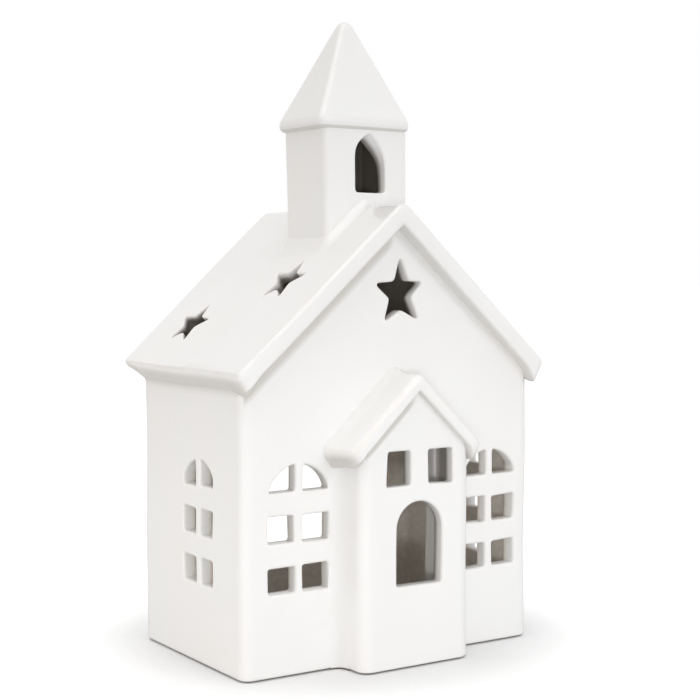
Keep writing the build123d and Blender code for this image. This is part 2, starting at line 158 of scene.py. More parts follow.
# an outline walked at fine steps and softened: each point is the bell-weighted mean of its neighbours
def softLoop(corners, step, soften, fineStep=0.08):
    corners = np.array(corners, float)
    closed = np.vstack([corners, corners[:1]])
    along = walkedTo(closed)
    fine = int(round(along[-1] / fineStep))
    walk = np.arange(fine) * along[-1] / fine
    points = np.stack([np.interp(walk, along, closed[:, k]) for k in (0, 1)], 1)
    wave = np.fft.rfftfreq(fine, along[-1] / fine)
    bell = np.exp(-2 * (np.pi * wave * soften) ** 2)[:, None]
    points = np.fft.irfft(np.fft.rfft(points, axis=0) * bell, fine, axis=0)
    pick = np.linspace(0, fine, int(round(along[-1] / step)), endpoint=False).astype(int)
    return points[pick]


# the direction square to an outline, to the right of the way that it runs
def rightOf(loop):
    along = np.roll(loop, -1, 0) - np.roll(loop, 1, 0)
    right = np.stack([along[:, 1], -along[:, 0]], 1)
    return right / np.linalg.norm(right, axis=1, keepdims=True)


# a star round the middle: five points at the radius and five waists at a share of it, turn about
def starOutline(radius, waist):
    turns = np.pi / 2 + np.arange(10) * np.pi / 5
    reaches = radius * np.tile([1, waist], 5)
    return np.stack([reaches * np.cos(turns), reaches * np.sin(turns)], 1)


# a star's tips trimmed: each gives way to two spots on its flanks, one trim away from it
def trimTips(points, trim):
    points = np.array(points, float)
    cut = trim * (np.arange(len(points)) % 2 == 0)[:, None]
    flanks = [np.roll(points, shift, 0) - points for shift in (1, -1)]
    ends = [points + cut * flank / np.linalg.norm(flank, axis=1, keepdims=True) for flank in flanks]
    return np.stack(ends, 1).reshape(-1, 2)


# upright sides under a half round
def archOutline(x, width, sill, spring, steps=41):
    turns = np.linspace(0, np.pi, steps)
    head = np.stack([x + width / 2 * np.cos(turns), spring + width / 2 * np.sin(turns)], 1)
    return np.vstack([[x - width / 2, sill], [x + width / 2, sill], head])


# upright sides under a hand-cut point: each flank comes in by a power of the height above its own spring
def pointedOutline(x, cut, steps=31):
    up = np.linspace(0, 1, steps)
    flanks = []
    for side, spring, power in zip((1, -1), cut["springs"], cut["powers"]):
        across = x + side * cut["half"] * (1 - up ** power)
        flanks.append(np.stack([across, spring + (cut["apex"] - spring) * up], 1))
    foot = [[x - cut["half"], cut["sill"]], [x + cut["half"], cut["sill"]]]
    return np.vstack([foot, flanks[0], flanks[1][-2::-1]])


# four corners, counter-clockwise from the lower left
def boxOutline(x0, x1, z0, z1):
    return np.array([[x0, z0], [x1, z0], [x1, z1], [x0, z1]], float)


# two columns of three panes: two plain rows, and a top row under part of a circle
def windowOutlines(x, window, steps=25):
    half, wide = window["mullion"] / 2, window["pane"]
    step = window["height"] + window["transom"]
    loops = []
    for side in (-1, 1):
        near, far = sorted((x + side * half, x + side * (half + wide)))
        for row in (0, 1):
            sill = window["sill"] + row * step
            pane = boxOutline(near, far, sill, sill + window["height"])
            loops.append(pane + rng.normal(0, window["wobble"], (4, 2)))
        foot = window["sill"] + 2 * step
        across = np.linspace(far, near, steps)
        crown = foot - window["drop"] + np.sqrt(window["arch"] ** 2 - (across - x) ** 2)
        top = np.vstack([[near, foot], [far, foot], np.stack([across, crown], 1)])
        loops.append(top + rng.normal(0, window["wobble"], (1, 2)))
    return loops


# inside where a ray to the right crosses the outline an odd number of times
def insideLoop(points, loop):
    x, y = points[:, :1], points[:, 1:]
    x0, y0 = loop.T
    x1, y1 = np.roll(x0, -1), np.roll(y0, -1)
    crossed = (y0 > y) != (y1 > y)
    run = np.where(y1 == y0, 1, y1 - y0)
    return np.sum(crossed & (x < x0 + (y - y0) * (x1 - x0) / run), axis=1) % 2 == 1


# on the plate where a point is inside its outline and outside its openings
def onPlate(points, outline, openings):
    keep = insideLoop(points, outline)
    for loop in openings:
        keep &= ~insideLoop(points, loop)
    return keep


# a grid of points over the plate, a margin away from every outline, and joined to the outlines
def fitGrid(outline, openings, grid, margin=1.0, snap=1e-6):
    loops = [outline] + openings
    keep = onPlate(grid, outline, openings)
    for loop in loops:
        keep &= np.min(np.sum((grid[:, None] - loop[None]) ** 2, -1), axis=1) > margin ** 2
    points = np.vstack(loops + [grid[keep]])
    starts = np.cumsum([0] + [len(loop) for loop in loops])
    runs = [np.arange(a, b) for a, b in zip(starts, starts[1:])]
    edges = np.vstack([np.stack([run, np.roll(run, -1)], 1) for run in runs])
    _, _, faces, origin, _, _ = delaunay_2d_cdt(points.tolist(), edges.tolist(), [], 0, snap)
    triangles = np.array(origin)[:, 0][np.array(faces)]
    return points, triangles[onPlate(points[triangles].mean(1), outline, openings)]


# quads of a grid of rows by columns, as triangles; wrap joins the last column to the first
def gridFaces(rows, columns, wrap):
    spots = np.arange(rows * columns).reshape(rows, columns)
    if wrap:
        spots = np.column_stack([spots, spots[:, 0]])
    a, b, c, d = spots[:-1, :-1], spots[:-1, 1:], spots[1:, 1:], spots[1:, :-1]
    return np.concatenate([np.stack(corners, -1).reshape(-1, 3) for corners in ((a, b, c), (a, c, d))])


rimSteps = {"lip": 7, "through": 5, "innerLip": 4, "flat": 0.25}


# a rim's section, from the outer face round a lip, through the wall and round the inner lip:
# how far it lies from the opening's edge, how deep, and how much of it is lip
def rimSection(lip, innerLip, thickness):
    flat = max(lip, innerLip) + rimSteps["flat"]
    a = np.linspace(0, np.pi / 2, rimSteps["lip"])
    b = np.linspace(0, np.pi / 2, rimSteps["innerLip"])[1:]
    through = np.linspace(lip, thickness - innerLip, rimSteps["through"])[1:]
    lateral = ([flat], lip * (1 - np.sin(a)), 0 * through, innerLip * (1 - np.cos(b)), [flat])
    depth = ([0], lip * (1 - np.cos(a)), through, thickness - innerLip + innerLip * np.sin(b), [thickness])
    lipShare = ([0], np.sin(2 * a), 0 * through, 0 * b, [0])
    return [np.concatenate(rows) for rows in (lateral, depth, lipShare)]


clayFade = {"room": 3.0, "depth": 0.5}


# bare clay: deeper than the glazed share of the wall, and within a little of the room that the plate closes
def bareClay(points, share, room):
    side = room["halfX"] - np.abs(points[:, 0])
    within = np.minimum(side, np.minimum(points[:, 1] - room["front"], room["back"] - points[:, 1]))
    deep = rising(share, room["glazed"], clayFade["depth"])
    return rising(within, -clayFade["room"], clayFade["room"]) * deep


# painted shade on a roof's edges and underside: the inner face's share of an edge's shade, and the shares of
# the depth where it sets in and over which it grows, on the edge and where that turns into the inner face
paintedEdgeShade = {"under": 0.55, "edge": (0.15, 0.25), "turn": (0.9, 0.1)}


# a cast plate with cut-outs: place(s, v, depth) puts a point of the plate in the part's frame. The outer and
# inner faces are fitted grids at no depth and full depth, and each edge is a rim's section carried round it.
# Painted shade darkens the plate's edges that look along s by the given share, and the face under it by a
# part of that
def castPlate(place, outline, grid, thickness, rims, room, edgeShadeShare=0.0):
    points, triangles = fitGrid(outline, [rim["flat"] for rim in rims if rim["isOpening"]], grid)
    none, full = np.zeros(len(points)), np.full(len(points), float(thickness))
    spots = [place(*points.T, none), place(*points.T, full)]
    faces = [triangles, triangles[:, ::-1] + len(points)]
    depths, lips, paintedShades = [none, full], [none, none], [none, none + paintedEdgeShade["under"] * edgeShadeShare]
    count = 2 * len(points)
    for rim in rims:
        lateral, depth, lipShare = rim["section"]
        rows, columns = len(depth), len(rim["loop"])
        s, v = (rim["loop"] + rim["into"] * lateral[:, None, None]).reshape(-1, 2).T
        deep = np.repeat(depth, columns)
        quads = gridFaces(rows, columns, rim["closed"])
        spots.append(place(s, v, deep))
        faces.append((quads if rim["isOpening"] else quads[:, ::-1]) + count)
        lips.append(np.repeat(lipShare, columns))
        depths.append(deep)
        # painted shade on edges that look along s and where an edge turns into the inner face; openings get
        # none
        onEdge = rising(deep / thickness, *paintedEdgeShade["edge"]) * np.tile(rim["into"][:, 0] ** 2, rows)
        turned = paintedEdgeShade["under"] * rising(deep / thickness, *paintedEdgeShade["turn"])
        paintedShades.append((0 if rim["isOpening"] else edgeShadeShare) * np.maximum(onEdge, turned))
        count += len(s)
    spots = np.vstack(spots)
    inside = bareClay(spots, np.concatenate(depths) / thickness, room)
    return {"points": spots, "faces": np.vstack(faces), "lip": np.concatenate(lips), "inside": inside,
            "thinGlazeAndShade": np.concatenate(paintedShades)}


# a rim with the way into the plate; the flat of the plate stops one lip and a little more from it
def makeRim(loop, into, section, isOpening=False, closed=True):
    return {"loop": loop, "into": into, "section": section, "isOpening": isOpening, "closed": closed,
            "flat": loop + into * section[0][0]}


# openings run counter-clockwise, so the plate lies to the right of their softened outlines
def cutOpenings(outlines, casting):
    section = rimSection(casting["lip"], house["innerLip"], casting["thickness"])
    loops = [softLoop(corners, casting["step"], soften) for corners, soften in outlines]
    return [makeRim(loop, rightOf(loop), section, True) for loop in loops]


# the plate's own outline runs the same way round, so the plate lies to its left
def plateEdge(corners, casting):
    section = rimSection(casting["edge"], casting["innerEdge"], casting["thickness"])
    loop = softLoop(corners, casting["edgeStep"], casting["edgeSoften"])
    return makeRim(loop, -rightOf(loop), section)


# even steps between the bends and the bends' own steps
def columnsFor(wall, step):
    ends = wall["s"][[0, -1]]
    even = np.linspace(*ends, round((ends[1] - ends[0]) / step) + 1)
    for bend in wall["bends"]:
        even = even[(even < bend[0] - step / 3) | (even > bend[-1] + step / 3)]
    return np.sort(np.concatenate([even, wall["bends"].ravel()]))


# every column at every row
def gridOver(columns, rows):
    return np.stack(np.meshgrid(columns, rows), -1).reshape(-1, 2)


# two waves for each axis: height, phase, and pace along x, y and z in radians a millimetre. Below the foot's
# height they fade to the share that is kept
castWaves = (
    ((0.12, 1.1, (0, 0, 1 / 9)), (0.10, 0.0, (0, 1 / 11, 1 / 17))),
    ((0.12, 0.4, (1 / 12, 0, 1 / 14)), (0.10, 0.0, (-1 / 23, 0, 1 / 8))),
    ((0.14, 2.0, (1 / 13, 0, 0)), (0.12, 0.0, (1 / 19, 1 / 10, 0))),
)
castFoot = {"height": 25.0, "kept": np.array([0.4, 0.4, 0.0])}


# hand-cast unevenness: slow waves move each point by up to about a quarter of a millimetre along each axis
def handCast(points):
    moved = [sum(high * np.sin(points @ pace + phase) for high, phase, pace in waves) for waves in castWaves]
    foot = rising(points[:, 2:], 0, castFoot["height"])
    return points + np.stack(moved, 1) * (castFoot["kept"] + (1 - castFoot["kept"]) * foot)


# a socket takes what another one gives, a colour or a plain value
def setInputs(tree, node, inputs):
    for key, value in inputs.items():
        socket = node.inputs[key]
        if isinstance(value, bpy.types.NodeSocket):
            tree.links.new(value, socket)
        elif socket.type == "RGBA":
            socket.default_value = (*value, 1)
        else:
            socket.default_value = value


# a shader node with its settings and inputs
def addNode(tree, kind, inputs=None, **settings):
    node = tree.nodes.new(kind)
    for key, value in settings.items():
        setattr(node, key, value)
    setInputs(tree, node, inputs or {})
    return node


# a material, its tree and shader, and the coordinates that its patterns stand on
def newMaterial(name):
    material = bpy.data.materials.new(name)
    material.use_nodes = True
    tree = material.node_tree
    coords = addNode(tree, "ShaderNodeTexCoord").outputs["Object"]
    return material, tree, tree.nodes["Principled BSDF"], coords


# cloudy noise, from 0 to 1
def noiseAt(tree, coords, scale, detail, rough):
    inputs = {"Vector": coords, "Scale": scale, "Detail": detail, "Roughness": rough}
    return addNode(tree, "ShaderNodeTexNoise", inputs).outputs["Fac"]


# from one value to another, by a smooth step between two levels of the factor
def ramp(tree, factor, low, high, lowValue=0.0, highValue=1.0):
    inputs = {"Value": factor, "From Min": low, "From Max": high, "To Min": lowValue, "To Max": highValue}
    return addNode(tree, "ShaderNodeMapRange", inputs, interpolation_type="SMOOTHSTEP").outputs["Result"]


# sockets 0, 6 and 7 of a mix are its factor and its two colours, and its output 2 is the mixed colour
def mixColour(tree, factor, a, b):
    return addNode(tree, "ShaderNodeMix", {0: factor, 6: a, 7: b}, data_type="RGBA").outputs[2]


# arithmetic on two values, or on the first alone
def combine(tree, operation, a, b=0.0):
    return addNode(tree, "ShaderNodeMath", {0: a, 1: b}, operation=operation).outputs[0]


# a surface tilted by the slope of a height
def bumpFrom(tree, height, strength, distance):
    inputs = {"Height": height, "Strength": strength, "Distance": distance}
    return addNode(tree, "ShaderNodeBump", inputs).outputs["Normal"]


# noises are scale, detail and roughness; spans of a noise or tint are where it sets in and where it is full
glaze = {
    "white": (0.895, 0.885, 0.875), "cool": (0.895, 0.895, 0.89), "thinGlazeAndShade": (0.74, 0.65, 0.56),
    # the first colour on the next line is painted shade; its last darkens bare clay as painted shade and as a
    # random speckle
    "paintedShade": (0.66, 0.64, 0.605), "bisque": (0.89, 0.83, 0.76), "speckleAndPaintedShade": (0.27, 0.245, 0.22),
    # the first colour on the next line is a painted contact shadow at the foot
    "foot": (0.10, 0.085, 0.07), "rough": (0.17, 0.75), "ior": 1.5,
    "cloud": (28.0, 3.0, 0.5), "cloudSpan": (0.35, 0.65), "patch": (53.2, 2.0, 0.5),
    "lipSpan": (0.2, 1.0), "lipPatch": (0.40, 0.75), "lipThin": (0.03, 0.30), "patchSpan": (0.66, 0.85),
    "patchThin": 0.10, "grain": (420.0, 4.0, 0.6), "grainSpan": (0.3, 0.7), "grainSoot": 0.18,
    "claySpan": (0.05, 0.95), "dimple": (95.0, 2.0, 0.5), "bump": (0.12, 0.0004),
    # heights over which painted shade darkens the clay inside, heights over which the foot's painted contact
    # shadow sets in, and depths y between which the painted shade behind the door ends
    "shadeHeights": (58.0, 90.0), "footShadowHeights": (0.8, 0.3), "doorShadeDepths": (-34.5, -32.0), "doorShade": 0.9,
}

# painted shade on the left below the roofs of gable and porch: distances below the soffit where it is darkest
# and gone again; the band ends a little behind the front
shadeBands = (
    {"soffit": soffitZ, "pitch": house["pitch"], "span": (3.6, 7.2), "front": frontY},
    {"soffit": porchHigh[2], "pitch": house["porchPitch"], "span": (2.2, 4.0), "front": porchLow[1]},
)
bandEdges = {"top": 0.3, "right": (-3.0, 1.0), "back": (0.8, 1.2)}


# how far a point lies below the soffit is the soffit's height less its own and less the fall of the slope
def bandShare(tree, place, band):
    fall = combine(tree, "MULTIPLY", combine(tree, "ABSOLUTE", place["X"]), np.tan(band["pitch"]))
    below = combine(tree, "SUBTRACT", band["soffit"], combine(tree, "ADD", fall, place["Z"]))
    near = ramp(tree, below, *band["span"], 1.0, 0.0)
    left = ramp(tree, place["X"], *bandEdges["right"], 1.0, 0.0)
    front = ramp(tree, place["Y"], *np.add(band["front"], bandEdges["back"]), 1.0, 0.0)
    wall = ramp(tree, below, 0.0, bandEdges["top"])
    return combine(tree, "MULTIPLY", combine(tree, "MULTIPLY", near, left),
                   combine(tree, "MULTIPLY", front, wall))


# what the glaze reads at each point of a piece: its lip, its bare clay inside, and its painted shade
tints = ("lip", "inside", "thinGlazeAndShade")


# glossy white over a warm body: it pools white on the flats, breaks thin and warm along the lips and in a few
# soft patches, takes painted shade under the eaves and on roof edges, and fades into bare clay inside, which
# takes painted shade further up and behind the door and a random darker speckle; the foot takes a painted
# contact shadow
def glazeMaterial():
    material, tree, shader, coords = newMaterial("whiteGlaze")
    readers = [addNode(tree, "ShaderNodeAttribute", attribute_name=tint) for tint in tints]
    lip, inside, thinGlazeAndShade = [reader.outputs["Fac"] for reader in readers]
    scaled = addNode(tree, "ShaderNodeVectorMath", {0: coords, "Scale": 1 / millimetre}, operation="SCALE")
    place = addNode(tree, "ShaderNodeSeparateXYZ", {0: scaled.outputs["Vector"]}).outputs
    cloud = noiseAt(tree, coords, *glaze["cloud"])
    patch = noiseAt(tree, coords, *glaze["patch"])
    grain = noiseAt(tree, coords, *glaze["grain"])
    colour = mixColour(tree, ramp(tree, cloud, *glaze["cloudSpan"]), glaze["white"], glaze["cool"])
    broken = combine(tree, "MULTIPLY", ramp(tree, lip, *glaze["lipSpan"]),
                     ramp(tree, patch, *glaze["lipPatch"], *glaze["lipThin"]))
    colour = mixColour(tree, broken, colour, glaze["thinGlazeAndShade"])
    soft = ramp(tree, patch, *glaze["patchSpan"], 0.0, glaze["patchThin"])
    colour = mixColour(tree, soft, colour, glaze["thinGlazeAndShade"])
    # painted shade under the eaves and on roof edges and undersides, then in the bands below the left slopes
    for share in [thinGlazeAndShade] + [bandShare(tree, place, band) for band in shadeBands]:
        colour = mixColour(tree, share, colour, glaze["paintedShade"])
    clay = glaze["bisque"]
    # painted shade darkens the bare clay higher up and behind the door; the grain darkens it in a random
    # speckle
    for share in (ramp(tree, place["Z"], *glaze["shadeHeights"]),
                  ramp(tree, grain, *glaze["grainSpan"], 0.0, glaze["grainSoot"]),
                  ramp(tree, place["Y"], *glaze["doorShadeDepths"], glaze["doorShade"], 0.0)):
        clay = mixColour(tree, share, clay, glaze["speckleAndPaintedShade"])
    colour = mixColour(tree, ramp(tree, inside, *glaze["claySpan"]), colour, clay)
    # the base colour ends in a painted contact shadow along the foot
    setInputs(tree, shader, {
        "Base Color": mixColour(tree, ramp(tree, place["Z"], *glaze["footShadowHeights"]), colour, glaze["foot"]),
        "Roughness": ramp(tree, inside, *glaze["claySpan"], *glaze["rough"]),
        "IOR": glaze["ior"],
        "Normal": bumpFrom(tree, noiseAt(tree, coords, *glaze["dimple"]), *glaze["bump"]),
    })
    return material


whiteGlaze = glazeMaterial()
print("glaze ready")

# points that agree to a few decimals are one; slip ends in a crease where its hidden back begins
weld = {"decimals": 4, "slipCrease": np.radians(60)}


# a shape as a mesh: points that agree are joined, then all are hand-cast and kept inside the CAD box
def makePiece(name, shape, node=None):
    rounded = np.round(shape["points"], weld["decimals"])
    spots, first, same = np.unique(rounded, axis=0, return_index=True, return_inverse=True)
    faces = same.ravel()[shape["faces"]]
    faces = faces[np.all(faces != np.roll(faces, 1, axis=1), axis=1)]
    spots = np.clip(handCast(spots), boxLow, boxHigh) * millimetre
    mesh = bpy.data.meshes.new(name)
    mesh.from_pydata(spots.tolist(), [], faces.tolist())
    for tint in tints:
        values = mesh.attributes.new(tint, "FLOAT", "POINT").data
        values.foreach_set("value", shape[tint][first].astype(np.float32))
    mesh.polygons.foreach_set("use_smooth", np.ones(len(faces), bool))
    mesh.materials.append(whiteGlaze)
    mesh.update()
    if not node:
        mesh.set_sharp_from_angle(angle=weld["slipCrease"])
    piece = bpy.data.objects.new(name, mesh)
    bpy.context.collection.objects.link(piece)
    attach(piece, "house")
    if node:
        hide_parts(node)
    print(name, len(spots), "points", len(faces), "triangles")


walls = {
    "thickness": house["wall"], "corner": 3.0, "chamberCorner": 2.0, "seam": 40.0, "tuck": 4.4, "lip": 0.85,
    "footLip": 1.4, "step": 0.6, "grid": 4.0, "soften": 0.5, "starSoften": 0.85, "eaveShadeBand": 3.6,
    "eaveShadeSide": 2.0, "thinGlazeAndShade": 0.6,
}
frontWindow = {
    "sill": 25.4, "height": 8.1, "transom": 7.1, "arch": 11.2, "drop": 3.0, "pane": 9.1, "mullion": 2.9,
    "wobble": 0.16,
}
sideWindow = dict(frontWindow, pane=7.9, mullion=3.1)
# the passage has its sill and head, the back opening its width, sill and spring
wallCuts = {
    "frontWindowX": 36.2, "sideWindowForward": 4.4, "passage": (14.0, 66.98), "back": (48.0, 25.0, 51.0),
    "starDrop": 20.5, "starTrim": 0.8,
    "star": ((0.9, 11.2), (-1.2, 3.1), (-8.7, 2.6), (-2.9, -2.1), (-5.1, -9.6),
             (1.1, -5.5), (8.2, -9.0), (4.7, -1.6), (9.7, 3.3), (4.0, 3.2)),
}


# a wall round a rectangle: from a seam at the back past its left, front and right
def wallRound(w, f, b, casting, innerCorner):
    corners = [(casting["seam"], b), (-w, b), (-w, f), (w, f), (w, b), (casting["seam"], b)]
    return bentWall(corners, casting["corner"], innerCorner, casting["thickness"], 1)


# a closed plate on such a wall: v is the height, and foot and top are edges that run all the way round
def closedPlate(line, cuts, foot, top, casting, room, lean=None):
    thickness, gridStep = casting["thickness"], casting["grid"]

    def place(s, v, deep):
        if lean:
            s, v = lean(s, v, deep / thickness)
        return np.column_stack([onWall(line, s, deep), v])

    section = rimSection(casting["lip"], house["innerLip"], thickness)
    footSection = rimSection(casting["footLip"], house["innerLip"], thickness)
    columns = columnsFor(line, gridStep / 2)
    up = np.column_stack([0 * columns, 0 * columns + 1])
    low = makeRim(np.column_stack([columns, foot(columns)]), up, footSection, closed=False)
    high = makeRim(np.column_stack([columns, top(columns)])[::-1], -up, section, closed=False)
    seam = np.arange(low["flat"][0, 1], high["flat"][-1, 1], gridStep)[1:]
    outline = np.vstack([low["flat"], np.column_stack([0 * seam + columns[-1], seam]),
                         high["flat"], np.column_stack([0 * seam + columns[0], seam[::-1]])])
    rows = np.arange(low["loop"][:, 1].min(), high["loop"][:, 1].max(), gridStep)
    grid = gridOver(columnsFor(line, gridStep)[1:-1], rows)
    return castPlate(place, outline, grid, thickness, cutOpenings(cuts, casting) + [low, high], room)


# four walls round the chamber, whose top follows the slopes of the roof and is tucked into its slab
def makeWalls():
    line = wallRound(halfWidth, frontY, backY, walls, walls["chamberCorner"])
    leftS, frontS, rightS = line["corners"][1:4] + [0, halfWidth, 0]
    offset, sideY = house["cutoutOffset"], (frontY + backY) / 2 - wallCuts["sideWindowForward"]
    cuts = []
    for side in (-1, 1):
        cuts += windowOutlines(frontS + offset + side * wallCuts["frontWindowX"], frontWindow)
    cuts += windowOutlines(leftS + backY - sideY, sideWindow)
    cuts += windowOutlines(rightS + sideY - frontY, sideWindow)
    cuts = [(cut, walls["soften"]) for cut in cuts]
    star = trimTips(wallCuts["star"], wallCuts["starTrim"])
    cuts.append((star + [frontS + offset, soffitZ - wallCuts["starDrop"]], walls["starSoften"]))
    passage = boxOutline(frontS - porchRoom["halfX"], frontS + porchRoom["halfX"], *wallCuts["passage"])
    cuts.append((passage, walls["soften"]))
    cuts.append((archOutline(walls["seam"], *wallCuts["back"]), walls["soften"]))

    def foot(s):
        return 0 * s

    def top(s):
        x = np.interp(s, line["s"], line["outer"][:, 0])
        return soffitZ - slope * np.abs(x) + walls["tuck"]

    shape = closedPlate(line, cuts, foot, top, walls, chamber)
    # painted shade under the eaves, over a band below the joint
    x, _, z = shape["points"].T
    below = soffitZ - slope * halfWidth - z
    side = rising(np.abs(x), halfWidth - walls["eaveShadeSide"], 1)
    shape["thinGlazeAndShade"] = walls["thinGlazeAndShade"] * (1 - rising(below, 0, walls["eaveShadeBand"])) * side
    return shape


makePiece("houseWalls", makeWalls(), "house_walls")

# setback and bow are those of the front and of the back; a star has its side, its distances from ridge and
# front, and the share that is scraped off round it
roof = {
    "thickness": house["slab"], "setback": (1.5, 2.9), "bow": (1.3, 2.2), "eaveBand": 7.0, "drop": 1.8,
    "cornerDrop": 1.3, "cornerBand": 6.0, "backTaper": 0.7, "taperFrom": 1.0, "edge": 0.9, "innerEdge": 0.9,
    "edgeStep": 0.7, "edgeSoften": 1.5, "lip": 0.85, "step": 0.5, "grid": 4.0, "thinGlazeAndShade": 0.85, "towerHole": 4.0,
    "holeSoften": 1.0, "starSoften": 0.75, "starRadius": 9.4, "waist": 0.42, "scrapeFade": (6.0, 10.0),
    "stars": ((-1, 36.2, 26.7, 0.3), (-1, 57.5, 59.8, 0.62), (1, 36.2, 66.7, 0.3), (1, 57.5, 33.6, 0.62)),
}


# a slab bent over a ridge: s runs from the left eave over the ridge to the right eave, and v is the depth y
def slabLine(half, soffit, pitch, thickness, ridgeRadius):
    ridge = soffit + thickness / np.cos(pitch)
    reach = half + thickness * np.sin(pitch)
    eave = ridge - reach * np.tan(pitch)
    corners = [(-reach, eave), (0, ridge), (reach, eave)]
    return bentWall(corners, ridgeRadius, house["innerCorner"], thickness, -1)


# the roof's ends are set back towards the eaves, by a power of the distance from the ridge. The eaves hang
# underneath by the square of the nearness to their ends, lower at the front corners, and thin out past the
# back wall. Round each star the slab is scraped thinner from inside, by a share that fades with the distance
def makeRoof():
    t = roof["thickness"]
    line = slabLine(halfWidth, soffitZ, house["pitch"], t, house["ridgeRadius"])
    _, ridgeS, endS = line["corners"]
    middle, half = (roofHigh[1] + roofLow[1]) / 2, (roofHigh[1] - roofLow[1]) / 2

    def inwards(x, y):
        end = (y - middle) / half
        power = np.where(end < 0, *roof["bow"])
        return end * np.where(end < 0, *roof["setback"]) * (np.abs(x) / halfWidth) ** power

    cuts, centres = [], []
    star = starOutline(roof["starRadius"], roof["waist"])
    for side, fromRidge, fromFront, scraped in roof["stars"]:
        turned = np.stack([-side * star[:, 1], side * star[:, 0]], 1)  # the star's point looks up the slope
        y = roofLow[1] + fromFront
        centre = [ridgeS + side * fromRidge, y + inwards(fromRidge * np.cos(house["pitch"]), y)]
        centres.append((*centre, scraped))
        cuts.append((turned + centre, roof["starSoften"]))

    def place(s, v, deep):
        for x, y, scraped in centres:
            deep = deep * (1 - scraped * (1 - rising(np.hypot(s - x, v - y), *roof["scrapeFade"])))
        near = rising(np.abs(s - ridgeS), endS / 2 - roof["eaveBand"], roof["eaveBand"])
        past = rising(v, backY - roof["taperFrom"], roofHigh[1] - backY)
        corner = 1 - rising(v, frontY - roof["cornerBand"] / 2, roof["cornerBand"])
        deep = deep * (1 - roof["backTaper"] * near * past)
        drop = (roof["drop"] + roof["cornerDrop"] * corner) * (1 - past)
        x, z = onWall(line, s, deep).T
        return np.column_stack([x, v - inwards(x, v), z - drop * near ** 2 * deep / t])

    inner = towerHigh - roof["towerHole"]
    reach, depth = inner[0] / np.cos(house["pitch"]), inner[1] - towerY
    hole = boxOutline(ridgeS - reach, ridgeS + reach, towerY - depth, towerY + depth)
    rims = cutOpenings(cuts + [(hole, roof["holeSoften"])], roof)
    edge = plateEdge(boxOutline(0, endS, roofLow[1], roofHigh[1]), roof)
    grid = gridOver(columnsFor(line, roof["grid"]), np.arange(roofLow[1], roofHigh[1], roof["grid"]))
    # painted shade on the slab's edges and underside, by the roof's share
    return castPlate(place, edge["flat"], grid, t, rims + [edge], chamber, roof["thinGlazeAndShade"])


makePiece("mainRoof", makeRoof(), "main_roof")

# the door has its width, sill and spring, and the lights over it their width, height, sill and gap
porch = {
    "half": house["porchHalf"], "thickness": house["porchWall"], "corner": 3.6, "tuck": 3.0, "rise": 4.0,
    "swell": 1.6, "lip": 0.85, "step": 0.6, "soften": 0.5, "edge": 1.2, "innerEdge": 0.5, "edgeStep": 0.6,
    "edgeSoften": 1.9, "grid": 3.5, "door": (16.6, 25.3, 42.8), "light": (8.6, 10.5, 56.3, 6.7),
    "wobble": 0.14,
}
porchBack = frontY + porch["tuck"]


# three walls of the porch, from the house round the front and back to the house; the right side stands out
# further, by the cube of the distance from the middle
def makePorch():
    w, f, t = porch["half"], porchLow[1], porch["thickness"]
    corners = [(-w, porchBack), (-w, f), (w, f), (w, porchBack)]
    line = bentWall(corners, porch["corner"], house["innerCorner"], t, 1)
    frontS, endS = line["corners"][1] + w, line["corners"][3]

    def place(s, v, deep):
        x, y = onWall(line, s, deep).T
        return np.column_stack([x + porch["swell"] * (np.maximum(x, 0) / w) ** 3, y, v])

    wide, high, sill, gap = porch["light"]
    middle = frontS + house["cutoutOffset"]
    cuts = [(archOutline(middle, *porch["door"]), porch["soften"])]
    for side in (-1, 1):
        x = middle + side * (gap + wide) / 2
        light = boxOutline(x - wide / 2, x + wide / 2, sill, sill + high)
        cuts.append((light + rng.normal(0, porch["wobble"], (4, 2)), porch["soften"]))
    top = porchHigh[2] + porch["rise"]
    side = porchHigh[2] - np.tan(house["porchPitch"]) * w + porch["rise"]
    edge = plateEdge([(0, 0), (endS, 0), (endS, side), (frontS + w, side), (frontS, top), (frontS - w, side),
                      (0, side)], porch)
    grid = gridOver(columnsFor(line, porch["grid"]), np.arange(0, top, porch["grid"]))
    return castPlate(place, edge["flat"], grid, t, cutOpenings(cuts, porch) + [edge], porchRoom)


makePiece("porchWalls", makePorch(), "porch_walls")

porchRoof = {
    "thickness": 4.2, "reach": 2.8, "ridgeRadius": 2.6, "edge": 1.9, "innerEdge": 0.8, "edgeStep": 0.5,
    "edgeSoften": 3.0, "gridAcross": 2.5, "gridDeep": 1.2, "flare": 1.8, "flareDepth": 6.5, "flarePower": 2.2,
    "flareOut": 2.0, "flareBand": 6.0, "drop": 2.5, "dropBand": 5.0, "tuckIn": 0.8, "thinGlazeAndShade": 1.0,
}


